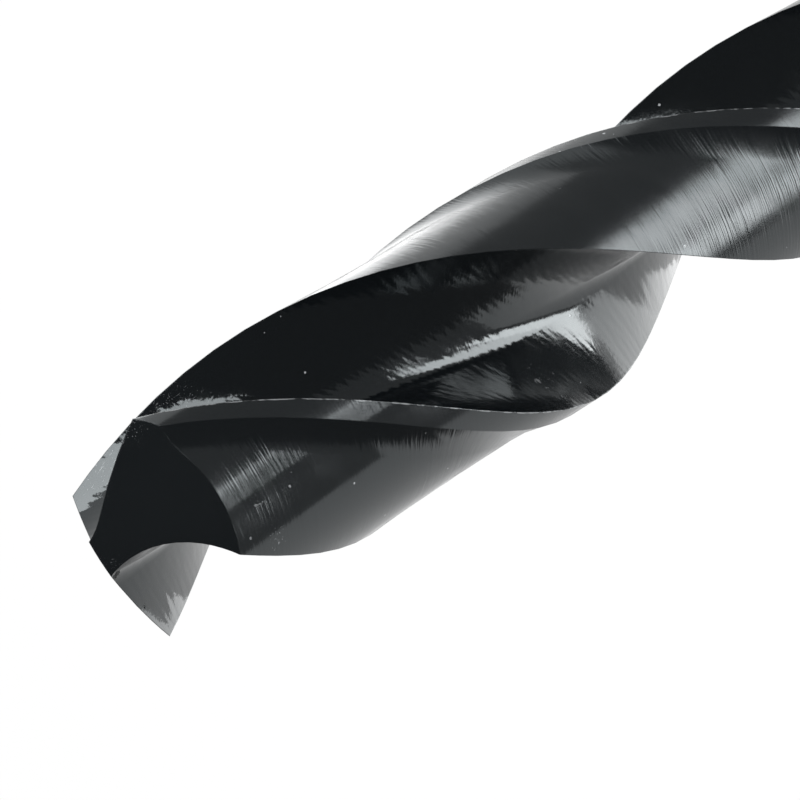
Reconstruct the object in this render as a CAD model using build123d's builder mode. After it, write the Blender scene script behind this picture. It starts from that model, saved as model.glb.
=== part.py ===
"""Twist drill bit with a straight shank: one solid bar of high-speed steel, in millimetres.

The drill stands on its shank end: the axis is Z, the flat of the shank end is on Z = 0 and the
chisel edge is at the top. Its two flutes, lands and lips are the same form turned by half a turn.
Angles in a section are counted from the outer corner of the first lip, anticlockwise from above.
"""

import os
from math import cos, degrees, pi, radians, sin, sqrt, tan

from build123d import *

# Driving dimensions
drill_diameter = 10.0  # across the margins, and of the shank
overall_length = 133.0
flute_length = 87.0  # from the chisel edge to the end of the flute's run-out
shank_chamfer = 0.6
helix_angle = 29.55  # of the margins, right-handed
cutter_radius = 38.0  # of the path on which the flute and land cutters leave the bar

web_thickness = 1.51
nose_radius = 1.36  # of the rounded bottom of the flute
nose_direction = 36.4  # degrees from the lip's corner to the middle of the web's thinnest place
nose_sweep = 41.7  # degrees of the nose, from the web to the cutting face
flute_opening = 92.8  # degrees from a lip's corner to the heel of the land ahead of it

margin_width = 1.0  # along the circumference
hollow_width = 1.6  # of the hollow that falls from the margin to the land, along the circumference
hollow_depth = 0.41
land_depth = 0.385  # of the land's middle below the margins
heel_depth = 0.18

flank_radius = 14.1  # each flank is ground as a patch of a cylinder, which bows the lips a little
flank_slope = 35.7  # degrees that the cylinder's crest falls from the chisel edge
flank_direction = -52.3  # degrees, the way it falls, between the lip's corner and the heel

# Sizes worked out from them
drill_radius = drill_diameter / 2
web_radius = web_thickness / 2
lead = pi * drill_diameter / tan(radians(helix_angle))
flute_end = overall_length - flute_length
margin_back = 180 - degrees(margin_width / drill_radius)
hollow_foot = margin_back - degrees(hollow_width / drill_radius)
land_middle = (flute_opening + margin_back) / 2
overrun = 0.4 * drill_radius  # how far a cutter reaches past what it cuts
twist_step = 15.0  # degrees between two sections of a lofted cutter


def polar(radius, angle):
    """The point at this radius, and at this angle in degrees."""
    return (radius * cos(radians(angle)), radius * sin(radians(angle)))


def flank_drop(x, y):
    """How far the first lip's flank lies below the chisel edge, at this place in the section."""
    along = x * cos(radians(flank_direction)) + y * sin(radians(flank_direction))
    across = y * cos(radians(flank_direction)) - x * sin(radians(flank_direction))
    bow = flank_radius - sqrt(flank_radius**2 - across**2)
    return along * tan(radians(flank_slope)) + bow / cos(radians(flank_slope))


corner_height = overall_length - flank_drop(drill_radius, 0)


def section_plane(height, lift=0.0, lift_direction=0.0):
    """The level plane at this height, turned along the helix and moved outwards by a cutter's lift."""
    turn = 360 * (height - corner_height) / lead
    centre = polar(lift, turn + lift_direction)
    return Plane(origin=(*centre, height), x_dir=(*polar(1, turn), 0), z_dir=(0, 0, 1))


def draw_flute(turn):
    """One flute's arcs: the cutting face from the lip's corner, the nose and the heel face."""
    nose = CenterArc(
        polar(web_radius + nose_radius, nose_direction + turn),
        nose_radius,
        nose_direction + turn + 180,
        nose_sweep,
    )
    cutting_face = TangentArc(nose @ 1, polar(drill_radius, turn), tangent=nose % 1)
    heel = polar(drill_radius - heel_depth, flute_opening + turn)
    heel_face = TangentArc(nose @ 0, heel, tangent=nose % 0 * -1)
    return cutting_face, heel_face


def draw_land(turn):
    """One land's arcs: its back from the heel, and the hollow that climbs to its margin."""
    back = ThreePointArc(
        polar(drill_radius - heel_depth, flute_opening + turn),
        polar(drill_radius - land_depth, land_middle + turn),
        polar(drill_radius - hollow_depth, hollow_foot + turn),
    )
    hollow = TangentArc(back @ 1, polar(drill_radius, margin_back + turn), tangent=back % 1)
    return back, hollow


def run_out_length(exit_lift):
    """Length over which a cutter rises by exit_lift on its circular path."""
    return sqrt(2 * cutter_radius * exit_lift - exit_lift**2)


def cutter_lift(height, lift_start):
    """How far a cutter has risen at this height, if it starts to rise at lift_start."""
    travel = max(0.0, lift_start - height)
    return cutter_radius - sqrt(cutter_radius**2 - travel**2)


# Both cutters leave the bar at flute_end. The flute's, which cuts deeper, rises first.
flute_lift_start = flute_end + run_out_length(drill_radius - web_radius)
land_exit_lift = hollow_depth / cos(radians(hollow_foot - land_middle))
land_lift_start = flute_end + run_out_length(land_exit_lift)

cutter_bottom = flute_end - overrun
section_count = round(360 * (flute_lift_start - cutter_bottom) / lead / twist_step)
cutter_heights = [
    cutter_bottom + (flute_lift_start - cutter_bottom) * i / section_count
    for i in range(section_count + 1)
]

# Flute run-out: the space that the flute cutter sweeps while it rises out of the bar
with BuildPart() as flute_run_out:
    for height in cutter_heights:
        lift = cutter_lift(height, flute_lift_start)
        with BuildSketch(section_plane(height, lift, nose_direction)):
            with BuildLine():
                cutting_face, heel_face = draw_flute(0)
                lip_side = Line(cutting_face @ 1, cutting_face @ 1 + cutting_face % 1 * overrun)
                heel_side = Line(heel_face @ 1, heel_face @ 1 + heel_face % 1 * overrun)
                outside = polar(drill_radius + 2 * overrun, flute_opening / 2)
                ThreePointArc(lip_side @ 1, outside, heel_side @ 1)
            make_face()
    loft()

# Land run-out: the same for the cutter that clears the land behind its margin
with BuildPart() as land_run_out:
    for height in cutter_heights:
        lift = cutter_lift(height, land_lift_start)
        with BuildSketch(section_plane(height, lift, land_middle)):
            with BuildLine():
                back, hollow = draw_land(0)
                heel_side = Line(back @ 0, back @ 0 - back % 0 * margin_width)
                margin_side = Line(hollow @ 1, hollow @ 1 + hollow % 1 * overrun)
                outside = Line(heel_side @ 1, polar(drill_radius + overrun, flute_opening))
                top = polar(drill_radius + 2 * overrun, land_middle)
                ThreePointArc(outside @ 1, top, margin_side @ 1)
            make_face()
    loft()

# Flank cutter: what the grinding wheel takes off above the first lip's flank
flank_reach = 3 * drill_radius
crest = (*polar(cos(radians(flank_slope)), flank_direction), -sin(radians(flank_slope)))
level = (*polar(1, flank_direction + 90), 0)
crest_plane = Plane(origin=(0, 0, overall_length), x_dir=level, z_dir=crest)

with BuildPart() as flank_cutter:
    with BuildSketch(crest_plane):
        with BuildLine():
            half_width = 1.5 * drill_radius
            bow = flank_radius - sqrt(flank_radius**2 - half_width**2)
            flank = ThreePointArc((-half_width, -bow), (0, 0), (half_width, -bow))
            Polyline(
                flank @ 1, (half_width, flank_reach), (-half_width, flank_reach), flank @ 0
            )
        make_face()
    extrude(amount=flank_reach, both=True)

# Twist drill: the shank with the flutes' run-outs, the twisted fluted body, and the ground point
with BuildPart() as twist_drill:
    with BuildSketch(Plane.XZ):
        with BuildLine():
            Polyline(
                (0, 0),
                (drill_radius - shank_chamfer, 0),
                (drill_radius, shank_chamfer),
                (drill_radius, flute_lift_start),
                (0, flute_lift_start),
                close=True,
            )
        make_face()
    revolve(axis=Axis.Z)
    for turn in (0, 180):
        add(flute_run_out.part, rotation=(0, 0, turn), mode=Mode.SUBTRACT)
        add(land_run_out.part, rotation=(0, 0, turn), mode=Mode.SUBTRACT)

    with BuildSketch(section_plane(flute_lift_start)):
        with BuildLine():
            for turn in (0, 180):
                draw_flute(turn)
                back, hollow = draw_land(turn)
                margin_middle = (180 + margin_back) / 2
                ThreePointArc(
                    hollow @ 1,
                    polar(drill_radius, margin_middle + turn),
                    polar(drill_radius, 180 + turn),
                )
        make_face()
    body_length = overall_length + overrun - flute_lift_start
    with BuildLine() as body_axis:
        Line((0, 0, flute_lift_start), (0, 0, flute_lift_start + body_length))
    with BuildLine() as body_helix:
        Helix(lead, body_length, drill_radius, center=(0, 0, flute_lift_start))
    sweep(path=body_axis.line, binormal=body_helix.edge())

    for turn in (0, 180):
        add(flank_cutter.part, rotation=(0, 0, turn), mode=Mode.SUBTRACT)

twist_drill.part.label = "twist_drill"

os.makedirs("parts", exist_ok=True)
export_step(twist_drill.part, "parts/twist_drill.step")
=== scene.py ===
from math import asin, atan2, cos, degrees, pi, radians, sin, tan

import bpy
from mathutils import Matrix, Vector

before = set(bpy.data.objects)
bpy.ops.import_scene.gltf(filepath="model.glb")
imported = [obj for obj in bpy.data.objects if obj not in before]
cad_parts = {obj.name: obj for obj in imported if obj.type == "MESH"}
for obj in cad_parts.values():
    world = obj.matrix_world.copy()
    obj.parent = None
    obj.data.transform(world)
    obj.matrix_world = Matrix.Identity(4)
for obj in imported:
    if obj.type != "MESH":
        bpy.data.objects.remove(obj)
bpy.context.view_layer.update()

# ---------------------------------------------------------------------------------------------
# Twist drill: one bar of high-speed steel. Its flutes are milled and its lands and margins are
# ground along the helix. The point is ground last, and a bath then turns the steel's surface to
# black iron oxide, which has rubbed off along the sharpest edges. Lengths are in millimetres.
# ---------------------------------------------------------------------------------------------
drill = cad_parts["twist_drill"]
mesh = drill.data
mm = 0.001
radius = 5.0
helix_angle = 29.55
twist = tan(radians(helix_angle)) / radius  # radians a millimetre, right-handed
corner_height = 130.105  # of the lips' outer corners
body_start = 63.45  # the flutes have their full depth from here to the point
full_round = 45.0  # the shank is whole up to here
flank_limit = 6.0  # below the lips' corners. No face under it belongs to a flank


def polar(distance, angle):
    """The point of the section at this distance, at this angle from the first lip's corner."""
    return Vector((distance * cos(radians(angle)), distance * sin(radians(angle))))


def tangent_arc(start, tangent, end):
    """Centre of the arc that leaves start along tangent and reaches end."""
    normal = Vector((-tangent.y, tangent.x))
    chord = end - start
    return start + normal * (chord.length_squared / (2 * chord.dot(normal)))


def arc_through(start, middle, end):
    """Centre of the arc through three points."""
    to_middle, to_end = middle - start, end - start
    area = 2 * (to_middle.x * to_end.y - to_middle.y * to_end.x)
    x = to_end.y * to_middle.length_squared - to_middle.y * to_end.length_squared
    y = to_middle.x * to_end.length_squared - to_end.x * to_middle.length_squared
    return start + Vector((x, y)) / area


# The section's arcs: the flute's cutting face, nose and heel face, the land's back and the
# hollow behind the margin, and the margin
web_radius = 0.755
nose_radius = 1.36
nose_direction = 36.4  # angles are in degrees from the first lip's corner
nose_sweep = 41.7
flute_opening = 92.8
heel_depth = 0.18  # depths are below the margins
land_angle = 130.67  # of the land's middle
land_depth = 0.385
hollow_angle = 150.21  # of the hollow's foot
hollow_depth = 0.41
margin_angle = 168.54  # of the margin's back
nose = polar(web_radius + nose_radius, nose_direction)
nose_end = nose + polar(nose_radius, nose_direction + 180 + nose_sweep)
nose_start = nose + polar(nose_radius, nose_direction + 180)
lip = polar(radius, 0)
heel = polar(radius - heel_depth, flute_opening)
margin_back = polar(radius, margin_angle)
hollow_foot = polar(radius - hollow_depth, hollow_angle)
land_middle = polar(radius - land_depth, land_angle)
cutting_face = tangent_arc(nose_end, polar(1, nose_direction + 270 + nose_sweep), lip)
heel_face = tangent_arc(nose_start, polar(-1, nose_direction + 270), heel)
back = arc_through(heel, land_middle, hollow_foot)
leaving = hollow_foot - back
hollow = tangent_arc(hollow_foot, Vector((-leaving.y, leaving.x)).normalized(), margin_back)
shank_zone, flute_zone, land_zone, point_zone = range(4)
arcs = [
    (flute_zone, cutting_face, nose_end, lip),
    (flute_zone, nose, nose_end, nose_start),
    (flute_zone, heel_face, nose_start, heel),
    (land_zone, back, heel, hollow_foot),
    (land_zone, hollow, hollow_foot, margin_back),
    (shank_zone, Vector((0, 0)), margin_back, polar(radius, 180)),
]


def nearest_arc(place):
    """The gap to the section's nearest arc, that arc, and which of the two halves it is in."""
    slack = 0.004  # by which a place may lie past an arc's end
    best = (9.0, None, 1)
    for half in (1, -1):
        for arc in arcs:
            _, centre, start, end = arc
            middle = ((start + end) / 2 - centre).normalized()
            reach = (start - centre).normalized().dot(middle) - slack
            away = place * half - centre
            if away.normalized().dot(middle) > reach:
                gap = abs(away.length - (start - centre).length)
                best = min(best, (gap, arc, half), key=lambda found: found[0])
    return best


# On the fluted body each corner of the mesh shades as the helical surface that its face lies on
normals = [corner.vector.copy() for corner in mesh.corner_normals]
zones = []
for face in mesh.polygons:
    place = face.center / mm
    facing = face.normal.xy.dot(place.xy.normalized())
    if place.z > corner_height - flank_limit and face.normal.z > 0.55:
        zones.append(point_zone)
        continue
    if place.z < body_start:
        # The bar's own wall is shank, the shallow run-outs under it are land, the deep ones flute
        far = place.xy.length > 0.9 * radius and facing > 0.9
        whole = place.xy.length > 0.985 * radius or place.z < full_round
        zones.append(shank_zone if whole else land_zone if far else flute_zone)
        continue
    unturned = Matrix.Rotation(-twist * (place.z - corner_height), 2)
    _, (zone, centre, _, _), half = nearest_arc(unturned @ place.xy)
    zones.append(zone)
    for corner in face.loop_indices:
        place = mesh.vertices[mesh.loops[corner].vertex_index].co / mm
        turn = Matrix.Rotation(twist * (place.z - corner_height), 2)
        flat = turn.inverted() @ place.xy
        out = (flat * half - centre) * half
        slope = twist * (out.x * flat.y - out.y * flat.x)
        normal = Vector((*(turn @ out), slope)).normalized()
        if normal.dot(face.normal) < 0:
            normal.negate()
        # One that leans far from its face's own is left as it was
        if normal.dot(face.normal) > 0.8:
            normals[corner] = normal
mesh.normals_split_custom_set(normals)


class Nodes:
    """Adds shader nodes to a new material, each with its inputs given as values or sockets."""

    def __init__(self, name):
        self.material = bpy.data.materials.new(name)
        self.material.use_nodes = True
        self.tree = self.material.node_tree
        self.shader = self.tree.nodes["Principled BSDF"]

    def add(self, kind, *values, output=0, **settings):
        node = self.tree.nodes.new("ShaderNode" + kind)
        for key in [key for key in settings if key in node.bl_rna.properties]:
            setattr(node, key, settings.pop(key))
        given = [(node.inputs[number], value) for number, value in enumerate(values)]
        given += [(node.inputs[key.replace("_", " ")], value) for key, value in settings.items()]
        for socket, value in given:
            self.set(socket, value)
        return node.outputs[output]

    def set(self, socket, value):
        if isinstance(value, bpy.types.NodeSocket):
            self.tree.links.new(value, socket)
        elif value is not None:
            socket.default_value = value

    def math(self, operation, *values):
        return self.add("Math", *values, operation=operation)

    def blend(self, x, x_share, y, y_share):
        """x * x_share + y * y_share"""
        return self.math(
            "ADD", self.math("MULTIPLY", x, x_share), self.math("MULTIPLY", y, y_share)
        )

    def noise(self, place, scale, detail=0.0):
        stretched = self.add("VectorMath", place, scale, operation="MULTIPLY")
        return self.add("TexNoise", Vector=stretched, Scale=1.0, Detail=detail)

    def distance(self, place, spot):
        return self.add("VectorMath", place, spot, operation="DISTANCE", output=1)

    def ramp(self, value, start, end, low=0.0, high=1.0):
        return self.add("MapRange", value, start, end, low, high, interpolation_type="SMOOTHSTEP")


black = (0.0026, 0.0033, 0.0039, 1)
bare_steel = (0.3, 0.31, 0.32, 1)
oxide_tint = (0.9, 0.975, 1.0, 1)
oxide_index = 1.62
micrometre = 1e-6
edge_round = 45 * micrometre
chip_depth = 90 * micrometre
ripple_lean = radians(48)  # of the mill's ripples, from the axis
deeper_lines = (124.0, 110.0)  # heights between which the grinding lines get deeper, downwards
duller = (121.0, 112.0)  # heights between which the steel gets duller, downwards
worn_end = (50.0, 56.0)  # heights between which the worn line on the margins sets in
dust_cells = 2.2  # a millimetre


def ripples(nodes, x, y, height):
    """The slanted ripples that the mill leaves in a flute."""
    along = cos(radians(nose_direction))
    across = sin(radians(nose_direction))
    side = nodes.math("SIGN", nodes.blend(x, along, y, across))
    sideways = nodes.math("MULTIPLY", nodes.blend(y, along, x, -across), side)
    lengthwise = nodes.blend(height, cos(ripple_lean), sideways, sin(ripple_lean))
    crosswise = nodes.blend(sideways, cos(ripple_lean), height, -sin(ripple_lean))
    slanted = nodes.add("CombineXYZ", lengthwise, crosswise, side)
    return nodes.noise(slanted, (1.1, 4.2, 1.0))


def dust(nodes, place, ragged):
    """Specks of dust, one at most in each cell of a grid, and none in most."""
    cells = nodes.tree.nodes.new("ShaderNodeTexVoronoi")
    nodes.set(cells.inputs["Vector"], place)
    cells.inputs["Scale"].default_value = dust_cells
    chance = nodes.add("SeparateColor", cells.outputs["Color"])
    size = nodes.math("MULTIPLY", nodes.ramp(chance, 0.86, 1.0), 0.14)
    speck = nodes.math("LESS_THAN", cells.outputs["Distance"], size)
    return nodes.math("MULTIPLY", speck, nodes.ramp(ragged, 0.35, 0.65, 0.1, 0.9))


def black_oxide(name, roughness, grain, line, ripple=0, scuffed=(), chips=()):
    """Black oxide on steel. Its grain, lines and ripples have these heights in micrometres."""
    nodes = Nodes(name)
    object_place = nodes.add("TexCoord", output=3)
    place = nodes.add("VectorMath", object_place, operation="SCALE", Scale=1 / mm)
    height = nodes.add("SeparateXYZ", place, output=2)
    turn = nodes.math("MULTIPLY_ADD", height, -twist, twist * corner_height)
    section = nodes.add("VectorRotate", Vector=place, Angle=turn, rotation_type="Z_AXIS")
    x = nodes.add("SeparateXYZ", section, output=0)
    y = nodes.add("SeparateXYZ", section, output=1)

    # Marks: a fine grain, the wheel's lines across the drill, and the mill's slanted ripples
    patches = nodes.ramp(nodes.noise(section, (0.5, 0.5, 0.35), 1.0), 0.4, 0.62, 0.5, 1.0)
    patches = nodes.math("MULTIPLY", patches, nodes.ramp(height, *deeper_lines, 1.5, 3.6))
    lines = nodes.math("MULTIPLY", nodes.noise(section, (0.35, 0.35, 12.0), 1.0), patches)
    marks = [(nodes.noise(section, (9, 9, 9), 1.0), grain), (lines, line)]
    if ripple:
        marks.append((ripples(nodes, x, y, height), ripple))
        marks.append((nodes.noise(section, (4.5, 4.5, 4.5), 1.0), ripple * 0.25))
    chipped = 0.0
    for spot, size in chips:
        wobble = nodes.math("MULTIPLY", nodes.noise(place, (8, 8, 8), 1.0), size * 2)
        inside = nodes.math("LESS_THAN", nodes.distance(place, spot), wobble)
        chipped = nodes.math("MAXIMUM", inside, chipped)
    normal = nodes.add("Bevel", edge_round, samples=4)
    heights = [(mark, tall * micrometre) for mark, tall in marks if tall]
    if chips:
        chip_height = nodes.math("MULTIPLY", chipped, chip_depth)
        heights.append((nodes.noise(place, (6, 6, 6), 1.0), chip_height))
    for mark, tall in heights:
        normal = nodes.add("Bump", Strength=1.0, Distance=tall, Height=mark, Normal=normal)
    nodes.set(nodes.shader.inputs["Normal"], normal)

    blotches = nodes.noise(section, (0.7, 0.7, 0.7), 3.0)
    rough = nodes.ramp(blotches, 0.3, 0.7, roughness * 0.85, roughness * 1.25)
    rough = nodes.math("MULTIPLY", rough, nodes.ramp(height, *duller, 0.6, 1.0))
    rough = nodes.math("MAXIMUM", rough, nodes.math("MULTIPLY", chipped, 0.6))
    nodes.set(nodes.shader.inputs["Roughness"], rough)

    # Bare steel along the leading edges of the margins, scuffs, and dust
    edge = nodes.add("CombineXYZ", nodes.math("ABSOLUTE", x), y, 0.0)
    ragged = nodes.noise(section, (2.5, 2.5, 2.5), 3.0)
    outer = nodes.math("MULTIPLY", ragged, 0.13)
    inner = nodes.math("MULTIPLY", ragged, 0.05)
    worn = nodes.ramp(nodes.distance(edge, (radius, 0, 0)), outer, inner)
    worn = nodes.math("MULTIPLY", worn, nodes.ramp(height, *worn_end))
    bare = nodes.math("MULTIPLY", worn, nodes.ramp(ragged, 0.44, 0.6, 0.0, 0.5))
    scratches = nodes.math(
        "MAXIMUM", nodes.noise(section, (1.0, 11, 2.0), 2.0), nodes.noise(place, (13, 13, 13), 1.0)
    )
    for spot, reach in scuffed:
        near = nodes.ramp(nodes.distance(place, spot), reach, reach * 0.2, 0.0, 0.1)
        scuff = nodes.ramp(nodes.math("ADD", scratches, near), 0.74, 0.84, 0.0, 0.3)
        scuff = nodes.math("MULTIPLY", scuff, nodes.math("GREATER_THAN", near, 0.0))
        bare = nodes.math("MAXIMUM", bare, scuff)
    bare = nodes.math("MAXIMUM", bare, dust(nodes, place, ragged))
    colour = nodes.add("Mix", data_type="RGBA", output=2)
    mix = colour.node
    nodes.set(mix.inputs[0], bare)
    mix.inputs[6].default_value = black
    mix.inputs[7].default_value = bare_steel
    nodes.set(nodes.shader.inputs["Base Color"], colour)
    nodes.shader.inputs["IOR"].default_value = oxide_index
    nodes.shader.inputs["Specular Tint"].default_value = oxide_tint
    return nodes.material


# Places of the wear, each with its reach
flute_scuffs = [
    ((1.93, 3.18, 124.4), 1.3),
    ((1.94, 3.77, 125.2), 1.3),
    ((0.74, 4.57, 128.2), 2.4),
    ((-2.84, -3.51, 110.5), 0.9),
    ((-2.21, -2.48, 110.45), 1.1),
]
land_scuffs = [((1.46, -4.41, 128.1), 0.6), ((-0.15, -4.74, 127.8), 0.8)]
point_scuffs = [((4.67, -0.03, 130.3), 1.1), ((-0.14, -0.49, 132.77), 0.5)]
lip_chip = ((-3.0, -0.13, 131.24), 0.11)
chisel_chip = ((-0.72, -0.45, 132.64), 0.2)
finishes = [
    black_oxide("Ground shank and margins", 0.19, 0.5, 1.6),
    black_oxide("Milled flutes", 0.12, 1.0, 0.8, 10, flute_scuffs, [lip_chip, chisel_chip]),
    black_oxide("Ground lands", 0.19, 0.4, 4.0, 0, land_scuffs),
    black_oxide("Ground point", 0.25, 0.6, 0, 0, point_scuffs, [chisel_chip]),
]
mesh.materials.clear()
for finish in finishes:
    mesh.materials.append(finish)
mesh.polygons.foreach_set("material_index", zones)

# ---------------------------------------------------------------------------------------------
# Floor: a wide sheet of matt white board that the drill stands on. It is pure white in
# reflections. In view a small share of it is plain board, which takes the drill's shadow.
# ---------------------------------------------------------------------------------------------
floor_size = 12  # metres
board_white = (0.85, 0.85, 0.85, 1)
white_share = 0.88  # of what the camera sees of the floor


def white_in_view(tree, camera=1.0):
    """A factor of 1 for glossy and transmission rays, and of camera for the camera's rays."""
    path = tree.nodes.new("ShaderNodeLightPath")
    seen = tree.nodes.new("ShaderNodeMath")
    seen.operation = "MULTIPLY"
    seen.inputs[1].default_value = camera
    tree.links.new(path.outputs["Is Camera Ray"], seen.inputs[0])
    factor = seen.outputs[0]
    for name in ("Is Glossy Ray", "Is Transmission Ray"):
        most = tree.nodes.new("ShaderNodeMath")
        most.operation = "MAXIMUM"
        tree.links.new(factor, most.inputs[0])
        tree.links.new(path.outputs[name], most.inputs[1])
        factor = most.outputs[0]
    return factor


bpy.ops.object.select_all(action="DESELECT")
bpy.ops.mesh.primitive_plane_add(size=floor_size, location=(0, 0, 0))
floor = bpy.context.object
floor.name = "floor"
board = bpy.data.materials.new("Pale floor")
board.use_nodes = True
tree = board.node_tree
tree.nodes.clear()
surface = tree.nodes.new("ShaderNodeOutputMaterial")
shares = tree.nodes.new("ShaderNodeMixShader")
matt = tree.nodes.new("ShaderNodeBsdfDiffuse")
matt.inputs["Color"].default_value = board_white
white = tree.nodes.new("ShaderNodeEmission")
tree.links.new(white_in_view(tree, white_share), shares.inputs[0])
tree.links.new(matt.outputs[0], shares.inputs[1])
tree.links.new(white.outputs[0], shares.inputs[2])
tree.links.new(shares.outputs[0], surface.inputs[0])
floor.data.materials.append(board)

# ---------------------------------------------------------------------------------------------
# Backdrop: the white of the studio all round, at full strength in view and in reflections, and
# weaker as light on the drill.
# ---------------------------------------------------------------------------------------------
light_on_drill = 0.4

studio = bpy.data.worlds.new("Studio")
bpy.context.scene.world = studio
studio.use_nodes = True
tree = studio.node_tree
backdrop = tree.nodes["Background"]
backdrop.inputs[0].default_value = (1, 1, 1, 1)
strength = tree.nodes.new("ShaderNodeMapRange")
tree.links.new(white_in_view(tree), strength.inputs[0])
strength.inputs[3].default_value = light_on_drill
strength.inputs[4].default_value = 1.0
tree.links.new(strength.outputs[0], backdrop.inputs[1])

# ---------------------------------------------------------------------------------------------
# Dark hood: a dome of dark cloth hung over the drill, lower on two sides. Nothing but the gloss
# of the steel sees it, and it gives the steel a dark surround to mirror.
# ---------------------------------------------------------------------------------------------
hood_radius = 0.28  # metres, as its centre is
hood_centre = Vector((0, 0, 0.115))
hood_glow = 0.09
hood_edge = 45  # degrees above the level, all round apart from the two lower sides
lower_sides = [(200, 348, -42), (140, 200, -22)]  # azimuths of each one's ends, and its edge


def dark_cloth(name, glow):
    """Cloth with no shine and an even faint glow."""
    cloth = bpy.data.materials.new(name)
    cloth.use_nodes = True
    shader = cloth.node_tree.nodes["Principled BSDF"]
    shader.inputs["Base Color"].default_value = (0, 0, 0, 1)
    shader.inputs["Specular IOR Level"].default_value = 0
    shader.inputs["Emission Color"].default_value = (1, 1, 1, 1)
    shader.inputs["Emission Strength"].default_value = glow
    return cloth


def hang_dark(card, name, glow):
    """Gives a card its cloth, and hides it from everything but gloss."""
    card.data.materials.append(dark_cloth(name, glow))
    card.visible_camera = card.visible_diffuse = False
    card.visible_transmission = card.visible_shadow = False


def hood_low(azimuth):
    """The elevation of the hood's edge at this azimuth."""
    for start, end, edge in lower_sides:
        if start < azimuth < end:
            return edge
    return hood_edge


bpy.ops.object.select_all(action="DESELECT")
bpy.ops.mesh.primitive_uv_sphere_add(
    segments=72, ring_count=36, radius=hood_radius, location=hood_centre
)
hood = bpy.context.object
hood.name = "dark_hood"
bpy.ops.object.mode_set(mode="EDIT")
bpy.ops.mesh.select_mode(type="FACE")
bpy.ops.mesh.select_all(action="DESELECT")
bpy.ops.object.mode_set(mode="OBJECT")
for face in hood.data.polygons:
    towards = face.center.normalized()
    azimuth = degrees(atan2(towards.y, towards.x)) % 360
    face.select = degrees(asin(towards.z)) < hood_low(azimuth)
bpy.ops.object.mode_set(mode="EDIT")
bpy.ops.mesh.delete(type="FACE")
bpy.ops.object.mode_set(mode="OBJECT")
hang_dark(hood, "Dark hood", hood_glow)

# ---------------------------------------------------------------------------------------------
# Dark card: a flat piece of dark cloth, cut to shape and laid just above the floor. Nothing but
# the gloss of the steel sees it, and the lands mirror it beside the bright panels.
# ---------------------------------------------------------------------------------------------
card_height = 0.6  # above the floor. Its height and its corners are in millimetres
card_glow = 0.28
card_corners = [
    (-36, -71),
    (-132, -258),
    (60, -290),
    (290, -130),
    (290, 120),
    (110, 80),
    (75, 95),
    (8, 110),
    (8, -40),
]

bpy.ops.object.select_all(action="DESELECT")
bpy.ops.mesh.primitive_circle_add(vertices=len(card_corners), fill_type="NGON")
card = bpy.context.object
card.name = "dark_card"
for corner, (x, y) in zip(card.data.vertices, card_corners):
    corner.co = (x * mm, y * mm, card_height * mm)
hang_dark(card, "Dark card", card_glow)

# ---------------------------------------------------------------------------------------------
# Lamps: soft panels just above the floor, which the lands and flutes mirror as their bright
# patches, a softbox beside the point, and one overhead, which the steel doesn't mirror.
# ---------------------------------------------------------------------------------------------
panel_height = 2.0  # millimetres above the floor
softbox_distance = 0.2  # metres


def direction(azimuth, elevation):
    """The unit vector that points this way, from angles in degrees."""
    level = polar(cos(radians(elevation)), azimuth)
    return Vector((level.x, level.y, sin(radians(elevation))))


def lamp(name, place, aim, width, height, radiance, roll=0):
    """A rectangular soft lamp at place, facing aim, with sides in metres."""
    data = bpy.data.lights.new(name, "AREA")
    data.shape = "RECTANGLE"
    data.size, data.size_y = width, height
    data.energy = radiance * pi * width * height
    box = bpy.data.objects.new(name, data)
    bpy.context.scene.collection.objects.link(box)
    box.location = Vector(place)
    box.rotation_mode = "QUATERNION"
    away = Vector(place) - Vector(aim)
    rolled = Matrix.Rotation(radians(roll), 3, away).to_quaternion()
    box.rotation_quaternion = rolled @ away.to_track_quat("Z", "Y")
    box.visible_camera = False
    return box


def floor_panel(name, x, y, width, height, radiance, turn=0):
    """A lamp that lies just above the floor and faces up, with place and sides in millimetres."""
    place = (x * mm, y * mm, panel_height * mm)
    panel = lamp(name, place, (x * mm, y * mm, 1), width * mm, height * mm, radiance)
    panel.rotation_mode = "XYZ"
    panel.rotation_euler = (pi, 0, radians(turn))


floor_panel("land_panel", 61, -101, 92, 62, 6.6, -10)
floor_panel("margin_panel", 84, -157, 64, 6.5, 7, 21)
floor_panel("rear_panel", 60, 195, 220, 100, 2)
floor_panel("under_panel", -32, -28, 42, 82, 1.5)
floor_panel("left_panel", -64, 22, 26, 60, 1.3)
floor_panel("flute_panel", 4, -85, 50, 112, 8.5, -20)
softbox_aim = Vector((0, 0, 0.115))
softbox_place = Vector((0, 0, 0.12)) + direction(5, 12) * softbox_distance
lamp("top_softbox", softbox_place, softbox_aim, 0.25, 0.065, 4.8, 6)
overhead = lamp("overhead_softbox", (0.15, -0.1, 0.8), (0, 0, 0), 0.5, 0.5, 9)
overhead.visible_glossy = False

# ---------------------------------------------------------------------------------------------
# Camera: above and beside the point, looking down at it with a long lens, and rolled so that
# the drill lies across the picture.
# ---------------------------------------------------------------------------------------------
camera_data = bpy.data.cameras.new("camera")
camera = bpy.data.objects.new("camera", camera_data)
bpy.context.scene.collection.objects.link(camera)
camera_data.lens = 608.285
camera_data.sensor_width = 36
camera_data.clip_start = 0.01
camera_data.clip_end = 20
camera.location = (0.259027, -0.361136, 0.429575)
right = Vector((-0.13802833, -0.7040028, -0.69665503))
up = Vector((0.86757364, 0.25336375, -0.42792848))
backward = Vector((0.47776998, -0.6634658, 0.5758029))
camera.rotation_mode = "QUATERNION"
camera.rotation_quaternion = Matrix((right, up, backward)).transposed().to_quaternion()
bpy.context.scene.camera = camera

bpy.context.scene.view_settings.view_transform = "Standard"
